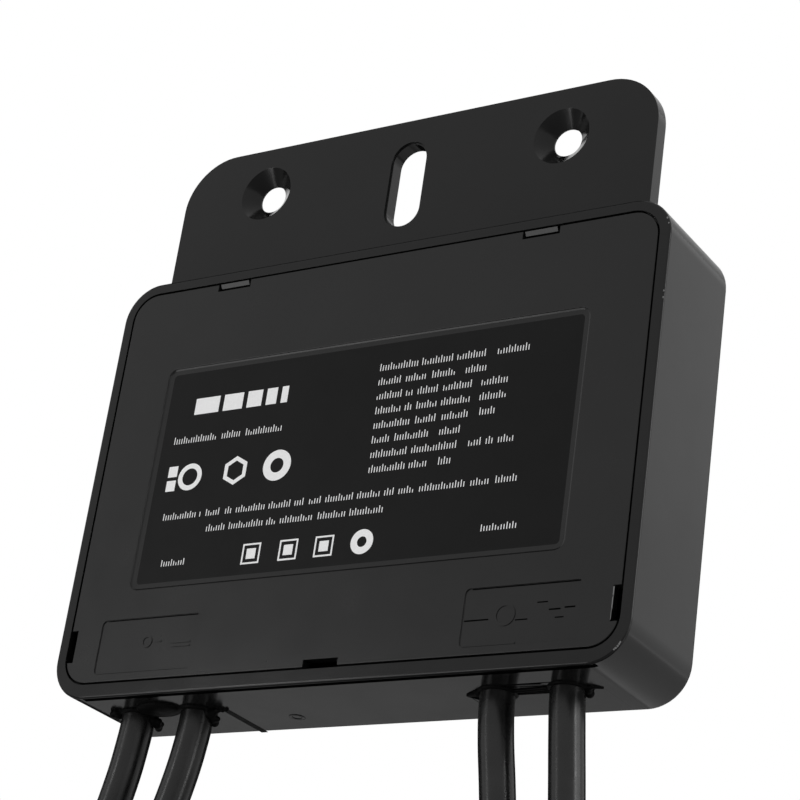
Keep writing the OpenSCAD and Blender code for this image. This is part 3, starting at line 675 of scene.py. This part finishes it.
def add_output_sealant(xs):
    deselect_all()
    y = LEAD_Y / MM
    left, right = xs
    pieces = [
        collar(left, y, 3.5, 0.45), collar(right, y, 3.5, 0.45),
        thread((left + 3, y - 0.4, 0), (right - 3, y - 0.9, 0), 0.45, 0.4),
        thread((left + 3, y + 1.2, 0), (right - 3, y + 0.8, 0), 0.3, 0.45),
        thread((left - 2.8, y - 1.2, 0), (left - 6.9, y + 0.2, 0.1), 1.0, 0.25),
        thread((left - 6.9, y + 0.2, 0.1), (left - 3.4, y + 2.4, 0.5), 0.25, 0.4),
        blob(left - 3.6, y - 0.9, 0.1, 0.9),
        thread((right + 2.9, y + 0.6, 0.1), (right + 5.2, y - 0.2, 0), 0.7, 0.5),
        thread((right + 5.2, y - 0.2, 0), (right + 6.8, y + 0.9, 0), 0.5, 0.25),
        blob(right + 3.5, y + 1.8, 0.6, 0.9), blob(right + 3.7, y + 0.8, 0.3, 0.8),
    ]
    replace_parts(fused("output_sealant_flash", pieces, [], 0.16 * MM, 1), "output_sealant")


def pair_xs(middle_x):
    """Places of a pair's two leads, in millimetres."""
    return (middle_x - LEAD_PITCH / 2) / MM, (middle_x + LEAD_PITCH / 2) / MM


add_input_sealant(pair_xs(INPUT_X))
add_output_sealant(pair_xs(OUTPUT_X))


# Moulded marks on the sunk panels, plain bars and rings, and flat black bars of painted groove shade: left
# end, foot above the base, width, height in mm
MARK_T = 0.14 * MM
GROOVE_SHADE_T = 0.02 * MM
# Flat black bars on the right panel: painted shade of the panel's moulded marks, not relief
RIGHT_BARS = (
    (31.0, 10.0, 5.2, 0.28), (41.9, 9.5, 2.6, 0.24), (46.2, 12.6, 2.2, 0.24), (48.8, 11.0, 2.4, 0.3),
    (52.0, 11.2, 2.2, 0.3), (50.2, 9.4, 1.8, 0.24),
)
LEFT_BARS = ((-37.2, 10.5, 4.8, 0.3), (-37.0, 9.7, 4.6, 0.3), (-41.2, 11.0, 1.4, 0.35))
FOOT_BARS = ((31.4, 5.0, 11.0, 0.3), (-55.0, 5.0, 24.0, 0.3))
# Flat black bars along the panels' top edges: painted groove shade
TOP_BARS = ((32.0, 16.2, 22.8, 0.24), (-54.4, 16.2, 22.8, 0.2))
# Rings: middle, height of the middle above the base, outer and inner radius, sides
MARK_RINGS = ((39.6, 10.8, 2.2, 1.75, 32), (-43.4, 11.3, 1.3, 0.9, 24))


def flat_bar(x, rise, w, h, face_y, t):
    """A thin upright bar on a face, given by its left end and foot in millimetres."""
    bpy.ops.mesh.primitive_cube_add(
        size=1, location=((x + w / 2) * MM, face_y - t / 2, base_z + (rise + h / 2) * MM))
    piece = bpy.context.object
    piece.scale = (w * MM, t, h * MM)
    return piece


def flat_ring(x, rise, outer, inner, sides, face_y, t, turn=0.0):
    """A thin disc on a face, cut open where an inner radius is given."""
    place = (x * MM, face_y - t / 2, base_z + rise * MM)
    bpy.ops.mesh.primitive_cylinder_add(
        vertices=sides, radius=outer * MM, depth=t, location=place, rotation=(math.pi / 2, turn, 0))
    piece = bpy.context.object
    apply_place(piece)
    if inner:
        bpy.ops.mesh.primitive_cylinder_add(
            vertices=sides, radius=inner * MM, depth=4 * t, location=place, rotation=(math.pi / 2, turn, 0))
        hole = bpy.context.object
        apply_place(hole)
        pick(piece)
        cut = piece.modifiers.new("hole", "BOOLEAN")
        cut.operation = "DIFFERENCE"
        cut.object = hole
        bpy.ops.object.modifier_apply(modifier="hole")
        bpy.data.objects.remove(hole)
    return piece


def add_panel_marks():
    deselect_all()
    floor_y = front_y + PANEL_DEPTH
    pieces = [flat_bar(*bar, floor_y, MARK_T) for bar in LEFT_BARS + FOOT_BARS]
    pieces += [flat_ring(*ring, floor_y, MARK_T) for ring in MARK_RINGS]
    dress(join_as("panel_marks", pieces), cover_finish)
    # The flat black bars are painted groove shade
    groove_shade_bars = [flat_bar(*bar, floor_y, GROOVE_SHADE_T) for bar in RIGHT_BARS + TOP_BARS]
    dress(join_as("painted_panel_groove_shade", groove_shade_bars), groove_shade_finish)


add_panel_marks()


# Painted shadow: a flat black line in the drip groove under the rim, for the shade under the rim's lip
DRIP_W = 1.3 * MM
DRIP_Y = front_y + 1.2 * MM
DRIP_T = 0.04 * MM
DRIP_ARC_STEPS = 4
DRIP_ARC_STEP_DEG = 4

# Ring that the mould's gate left on the base
GATE_PLACE = Vector((-16.5 * MM, 10.4 * MM, base_z))
GATE_R = 1.3 * MM
GATE_THICK_R = 0.4 * MM
GATE_FLAT = 0.35


def add_painted_drip_shadow():
    """The painted shadow line along the base's front edge, up to the start of the right corner."""
    curve = bpy.data.curves.new("painted_drip_shadow", "CURVE")
    curve.dimensions = "2D"
    curve.extrude = DRIP_W / 2
    straight = HALF_W - CORNER_R
    path = [(-straight, base_z)]
    for step in range(DRIP_ARC_STEPS):
        angle = math.radians(-90 + DRIP_ARC_STEP_DEG * step)
        x = straight + CORNER_R * math.cos(angle)
        z = base_z + CORNER_R + CORNER_R * math.sin(angle)
        path.append((x, z))
    spline = curve.splines.new("POLY")
    spline.points.add(len(path) - 1)
    for knot, (x, z) in zip(spline.points, path):
        knot.co = (x, z, 0, 1)
    line = bpy.data.objects.new("painted_drip_shadow", curve)
    bpy.context.scene.collection.objects.link(line)
    line.location = (0, DRIP_Y, 0)
    line.rotation_euler = (math.pi / 2, 0, 0)
    pick(line)
    bpy.ops.object.convert(target="MESH")
    line = bpy.context.object
    apply_place(line)
    thick = line.modifiers.new("thick", "SOLIDIFY")
    thick.thickness = DRIP_T
    thick.offset = 0
    bpy.ops.object.modifier_apply(modifier="thick")
    dress(line, groove_shade_finish)


def add_gate_mark():
    deselect_all()
    bpy.ops.mesh.primitive_torus_add(
        major_radius=GATE_R, minor_radius=GATE_THICK_R, major_segments=32, minor_segments=10,
        location=GATE_PLACE)
    ring = bpy.context.object
    ring.name = "gate_mark"
    ring.data.name = "gate_mark"
    ring.scale = (1, 1, GATE_FLAT)
    apply_place(ring)
    bpy.ops.object.shade_smooth()
    dress(ring, housing_finish)


add_painted_drip_shadow()
add_gate_mark()


# Soft frame between the cover's face and the label
FRAME_OVER = 0.45 * MM
FRAME_CHAMFER = 0.75 * MM
FRAME_GAP = 1.2 * MM
FRAME_R = 2.2 * MM
FRAME_BEHIND = 0.003 * MM
FRAME_UNDER = 0.1 * MM
FRAME_CLEAR = 0.01 * MM
CHAMFER_SHARE = 0.8

# Light bars beside the right pry slot, partly wear and partly a painted highlight of the slot's lit left wall:
# left end, foot above the base, width, height in mm
WORN_AND_LIT_BARS = ((61.46, 8.2, 0.34, 2.2), (61.5, 10.2, 0.4, 2.6), (61.44, 12.5, 0.5, 2.0))
# Light specks on the rim's right edge, partly wear and partly painted highlights: middle, height above the
# base, radius in mm
WORN_AND_LIT_SPECKS = ((65.75, 73.6, 0.2), (65.74, 72.2, 0.22))
# Light specks on the rim's right corners, partly wear and partly painted glints: angle from the right, radius
# in mm
WORN_AND_LIT_LOWER = ((-47, 0.2), (-44, 0.3), (-41, 0.32), (-38, 0.28), (-35, 0.2))
WORN_AND_LIT_UPPER = ((24, 0.24), (15, 0.18))
SPECK_SIDES = 12
EDGE_WEAR_Y = front_y + 0.05 * MM
EDGE_WEAR_T = 0.02 * MM
CORNER_WEAR_Y = front_y + 0.02 * MM
CORNER_WEAR_T = 0.015 * MM
CORNER_WEAR_IN = 0.32 * MM


def add_label_frame():
    deselect_all()
    film_w = label_high.x - label_low.x
    film_h = label_high.z - label_low.z
    middle = (label_low + label_high) / 2
    depth = label_y - front_y
    bpy.ops.mesh.primitive_plane_add(
        size=1, location=(middle.x, front_y + FRAME_BEHIND, middle.z), rotation=(math.pi / 2, 0, 0))
    rim = bpy.context.object
    rim.name = "label_frame"
    rim.data.name = "label_frame"
    spread = 2 * (FRAME_GAP + FRAME_OVER)
    rim.scale = (film_w + spread, film_h + spread, 1)
    apply_place(rim)
    bpy.ops.object.mode_set(mode="EDIT")
    bpy.ops.mesh.select_mode(type="VERT")
    bpy.ops.mesh.select_all(action="SELECT")
    bpy.ops.mesh.bevel(offset=FRAME_R + FRAME_OVER, segments=8, affect="VERTICES")
    bpy.ops.mesh.select_mode(type="FACE")
    bpy.ops.mesh.select_all(action="SELECT")
    bpy.ops.mesh.inset(thickness=FRAME_CHAMFER)
    bpy.ops.transform.translate(value=(0, CHAMFER_SHARE * depth, 0))
    bpy.ops.mesh.inset(thickness=FRAME_GAP + FRAME_OVER - FRAME_CHAMFER + FRAME_UNDER)
    bpy.ops.transform.translate(value=(0, (1 - CHAMFER_SHARE) * depth - FRAME_CLEAR, 0))
    bpy.ops.mesh.delete(type="FACE")
    bpy.ops.object.mode_set(mode="OBJECT")
    dress(rim, cover_finish)


# Light marks on the right edges: partly wear, partly painted highlights and glints
def add_wear_and_highlights():
    deselect_all()
    pieces = [flat_bar(*bar, EDGE_WEAR_Y, EDGE_WEAR_T) for bar in WORN_AND_LIT_BARS]
    for x, rise, r in WORN_AND_LIT_SPECKS:
        pieces.append(flat_ring(x, rise, r, 0, SPECK_SIDES, EDGE_WEAR_Y, EDGE_WEAR_T))
    low_rise = CORNER_R / MM
    high_rise = BODY_H / MM - low_rise
    reach = (CORNER_R - CORNER_WEAR_IN) / MM
    for middle_rise, specks in ((low_rise, WORN_AND_LIT_LOWER), (high_rise, WORN_AND_LIT_UPPER)):
        for angle, r in specks:
            turn = math.radians(angle)
            x = (HALF_W - CORNER_R) / MM + reach * math.cos(turn)
            rise = middle_rise + reach * math.sin(turn)
            pieces.append(flat_ring(x, rise, r, 0, SPECK_SIDES, CORNER_WEAR_Y, CORNER_WEAR_T))
    dress(join_as("wear_and_highlights", pieces), wear_and_highlight_finish)


add_label_frame()
add_wear_and_highlights()


# Print on the label: rows of small strokes and plain shapes, none of them letters, in millimetres
INK_T = 0.03 * MM
STROKE_W = 0.18
STROKE_STEP = 0.62
STROKE_HEIGHTS = (1.0, 0.72, 0.72, 0.72, 1.0, 0.72, 0.45, 0.72, 0.72, 1.0, 0.72)
WORD_GAP = 0.9

# Slanted bars at the top: left end, foot above the base, height, lean, gap and the bars' widths
HEAD_X = -43.2
HEAD_RISE = 61.4
HEAD_H = 3.7
HEAD_LEAN = 1.0
HEAD_GAP = 1.15
HEAD_WIDTHS = (6.2, 4.9, 3.7, 2.6, 1.6)

# Rows of strokes: left end, foot above the base, height, widths of the groups, first stroke's number
SUB_ROW = (-46.1, 55.0, 1.6, (11.4, 5.2, 9.6))
LOWER_ROWS = (
    (-45.3, 37.8, 1.5, (8.4, 0.7, 4.0, 1.8, 7.2, 5.4, 2.6, 3.0, 6.6, 5.4, 2.4, 3.8, 10.6, 4.6, 5.2)),
    (-33.6, 34.3, 1.5, (4.8, 8.4, 2.4, 8.2, 6.6, 8.0), 3),
    (-43.6, 27.5, 1.4, (6.0,)),
    (31.9, 28.1, 1.4, (8.0,)),
)

# Rows on the right, from the top: left end and widths of the groups
ROW_RISE = 65.4
ROW_STEP = 3.19
ROW_H = 1.6
ROW_STROKES = 3
RATING_ROWS = (
    (3.4, (9.0, 7.2, 7.0, -1.3, 7.4)),
    (3.5, (5.6, 5.2, 5.6, -1.2, 5.0)),
    (3.6, (6.0, 1.8, 5.0, 6.6, -1.2, 6.2)),
    (3.8, (6.0, 1.8, 4.8, 6.6, -1.2, 6.2)),
    (3.9, (8.8, 5.2, 6.2, -1.4, 3.8)),
    (4.0, (4.4, 8.0, -1.4, 5.0)),
    (4.2, (8.6, 10.8, -1.2, 3.0, 1.8, 3.6)),
    (4.3, (8.4, 4.4, -1.4, 3.4)),
)

# Plain signs. Rings: middle, its height, outer and inner radius, sides. Squares: left end, foot, width, height
SIGN_RINGS = ((-40.3, 47.1, 3.0, 1.9, 40), (-28.8, 47.3, 3.2, 2.2, 6), (-18.4, 47.3, 3.4, 1.6, 40))
SIGN_SQUARES = ((-46.1, 44.3, 2.3, 2.4), (-46.1, 47.5, 2.3, 2.4))
LAST_RING = (5.2, 28.5, 2.6, 1.1, 40)

# Square frames with a filled middle
BOX_XS = (-21.2, -12.2, -3.7)
BOX_RISE = 28.4
BOX_OUTER = 3.1
BOX_INNER = 2.6
BOX_FILL = 2.2


def ink_bar(x, rise, w, h):
    return flat_bar(x, rise, w, h, label_y, INK_T)


def ink_ring(x, rise, outer, inner, sides, turn=0.0):
    return flat_ring(x, rise, outer, inner, sides, label_y, INK_T, turn)


def slanted_bar(x, rise, w, h, lean):
    """A bar whose top is moved to the right."""
    piece = ink_bar(x, rise, w, h)
    apply_place(piece)
    middle_z = base_z + (rise + h / 2) * MM
    for point in piece.data.vertices:
        point.select = point.co.z > middle_z
    bpy.ops.object.mode_set(mode="EDIT")
    bpy.ops.transform.translate(value=(lean * MM, 0, 0))
    bpy.ops.object.mode_set(mode="OBJECT")
    return piece


def stroke_row(x, rise, height, words, start=0):
    """A row of strokes in groups, each group as wide as a word; a negative width is a gap."""
    pieces = []
    count = start
    for word in words:
        if word < 0:
            x -= word
            continue
        for i in range(round(word / STROKE_STEP)):
            tall = height * STROKE_HEIGHTS[count % len(STROKE_HEIGHTS)]
            pieces.append(ink_bar(x + i * STROKE_STEP, rise, STROKE_W, tall))
            count += 1
        x += word + WORD_GAP
    return pieces


def add_label_print():
    deselect_all()
    pieces = []
    x = HEAD_X
    for w in HEAD_WIDTHS:
        pieces.append(slanted_bar(x, HEAD_RISE, w, HEAD_H, HEAD_LEAN))
        x += w + HEAD_GAP
    pieces += stroke_row(*SUB_ROW)
    pieces += [ink_ring(*ring) for ring in SIGN_RINGS]
    pieces += [ink_bar(*square) for square in SIGN_SQUARES]
    for row, (x, words) in enumerate(RATING_ROWS):
        pieces += stroke_row(x, ROW_RISE - row * ROW_STEP, ROW_H, words, row * ROW_STROKES)
    for lower_row in LOWER_ROWS:
        pieces += stroke_row(*lower_row)
    for x in BOX_XS:
        pieces.append(ink_ring(x, BOX_RISE, BOX_OUTER, BOX_INNER, 4, math.pi / 4))
        pieces.append(ink_bar(x - BOX_FILL / 2, BOX_RISE - BOX_FILL / 2, BOX_FILL, BOX_FILL))
    pieces.append(ink_ring(*LAST_RING))
    dress(join_as("label_print", pieces), ink_finish)


add_label_print()


# Stage: pale floor, white surroundings, soft lamps and cards
FLOOR_GAP = 0.08
FLOOR_SIZE = 8
AMBIENT = 0.6
BLACK_CARD = (0.003, 0.006)
WHITE_CARD = (0.92, 0.96)


def add_floor():
    bpy.ops.mesh.primitive_plane_add(size=FLOOR_SIZE, location=(0, 0, solid_box[0][2] - FLOOR_GAP))
    floor = bpy.context.object
    floor.name = "floor"
    apply_place(floor)
    finish = Finish("pale_floor")
    finish.set(Specular_IOR_Level=0.2)
    finish.colour(finish.ramp(finish.noise(0.2), [(0.3, 0.49), (0.7, 0.53)]))
    finish.roughness(finish.ramp(finish.noise(0.1), [(0.3, 0.7), (0.7, 0.8)]))
    floor.data.materials.append(finish.material)


def light_surroundings():
    """White where it is seen, straight or in a reflection, and dimmer as a lamp."""
    world = bpy.data.worlds.new("studio")
    bpy.context.scene.world = world
    world.use_nodes = True
    tree = world.node_tree
    seen = tree.nodes["Background"]
    seen.inputs["Color"].default_value = (1, 1, 1, 1)
    seen.inputs["Strength"].default_value = 1.0
    lamp = tree.nodes.new("ShaderNodeBackground")
    lamp.inputs["Color"].default_value = (1, 1, 1, 1)
    lamp.inputs["Strength"].default_value = AMBIENT
    path = tree.nodes.new("ShaderNodeLightPath")
    either = path.outputs["Is Camera Ray"]
    for name in ("Is Glossy Ray", "Is Transmission Ray"):
        both = tree.nodes.new("ShaderNodeMath")
        both.operation = "MAXIMUM"
        tree.links.new(either, both.inputs[0])
        tree.links.new(path.outputs[name], both.inputs[1])
        either = both.outputs["Value"]
    mix = tree.nodes.new("ShaderNodeMixShader")
    tree.links.new(either, mix.inputs["Fac"])
    tree.links.new(lamp.outputs["Background"], mix.inputs[1])
    tree.links.new(seen.outputs["Background"], mix.inputs[2])
    tree.links.new(mix.outputs["Shader"], tree.nodes["World Output"].inputs["Surface"])


def add_softbox(name, place, aim, width, height, power):
    """A rectangular lamp that faces a point."""
    data = bpy.data.lights.new(name, "AREA")
    data.shape = "RECTANGLE"
    data.size = width
    data.size_y = height
    data.energy = power
    lamp = bpy.data.objects.new(name, data)
    bpy.context.scene.collection.objects.link(lamp)
    towards = Vector(aim) - Vector(place)
    turn = towards.to_track_quat("-Z", "Y").to_matrix().to_4x4()
    lamp.matrix_world = Matrix.Translation(Vector(place)) @ turn


def add_flag(name, place, aim, width, height, tones=BLACK_CARD):
    """A card that shows in reflections alone and keeps the white surroundings out of rounded edges."""
    bpy.ops.mesh.primitive_plane_add(size=1, location=place)
    flag = bpy.context.object
    flag.name = name
    flag.scale = (width, height, 1)
    flag.rotation_euler = (Vector(aim) - Vector(place)).to_track_quat("Z", "Y").to_euler()
    apply_place(flag)
    finish = Finish(name + "_cloth")
    finish.set(Specular_IOR_Level=0.0)
    finish.colour(finish.ramp(finish.noise(0.05), [(0.3, tones[0]), (0.7, tones[1])]))
    flag.data.materials.append(finish.material)
    flag.visible_camera = False
    flag.visible_diffuse = False
    flag.visible_shadow = False


add_floor()
light_surroundings()
add_softbox("side_softbox", (0.40, 0.66, 0.40), (0.066, 0.005, -0.03), 0.5, 0.34, 0.05)
add_softbox("foot_softbox", (0.129, 0.331, -0.23), (0.06, 0.005, -0.11), 0.46, 0.24, 0.15)
add_softbox("right_softbox", (0.652, 0.076, 0.184), (0.06, -0.007, -0.07), 0.46, 0.2, 0.8)
add_softbox("lead_softbox", (0.51, -0.32, -0.19), (0, 0, -0.16), 0.22, 0.35, 0.1)
add_softbox("edge_strip", (0.69, -0.07, 0.13), (0.05, 0, -0.08), 0.07, 0.40, 0.7)
add_softbox("input_strip", (0.45, -0.04, -0.21), (-0.05, 0.004, -0.15), 0.06, 0.32, 0.4)
add_softbox("lead_strip", (-0.42, -0.56, 0.0), (0, 0, -0.16), 0.07, 0.12, 0.22)
add_softbox("low_softbox", (-0.37, -0.51, -0.35), (0, 0, -0.06), 0.3, 0.32, 1.2)
add_flag("top_flag", (-0.42, 0.05, 0.62), (0, 0.05, -0.06), 0.8, 0.5)
add_flag("back_flag", (-0.35, 0.45, -0.01), (-0.35, 0, -0.01), 1.1, 0.42)
add_flag("left_flag", (-0.75, 0.15, -0.05), (0, 0.15, -0.05), 0.6, 0.4)
add_flag("corner_card", (-0.024, 0.488, 0.328), (0.06, 0.01, -0.025), 0.43, 0.22, WHITE_CARD)

view = bpy.context.scene.view_settings
view.view_transform = "Standard"
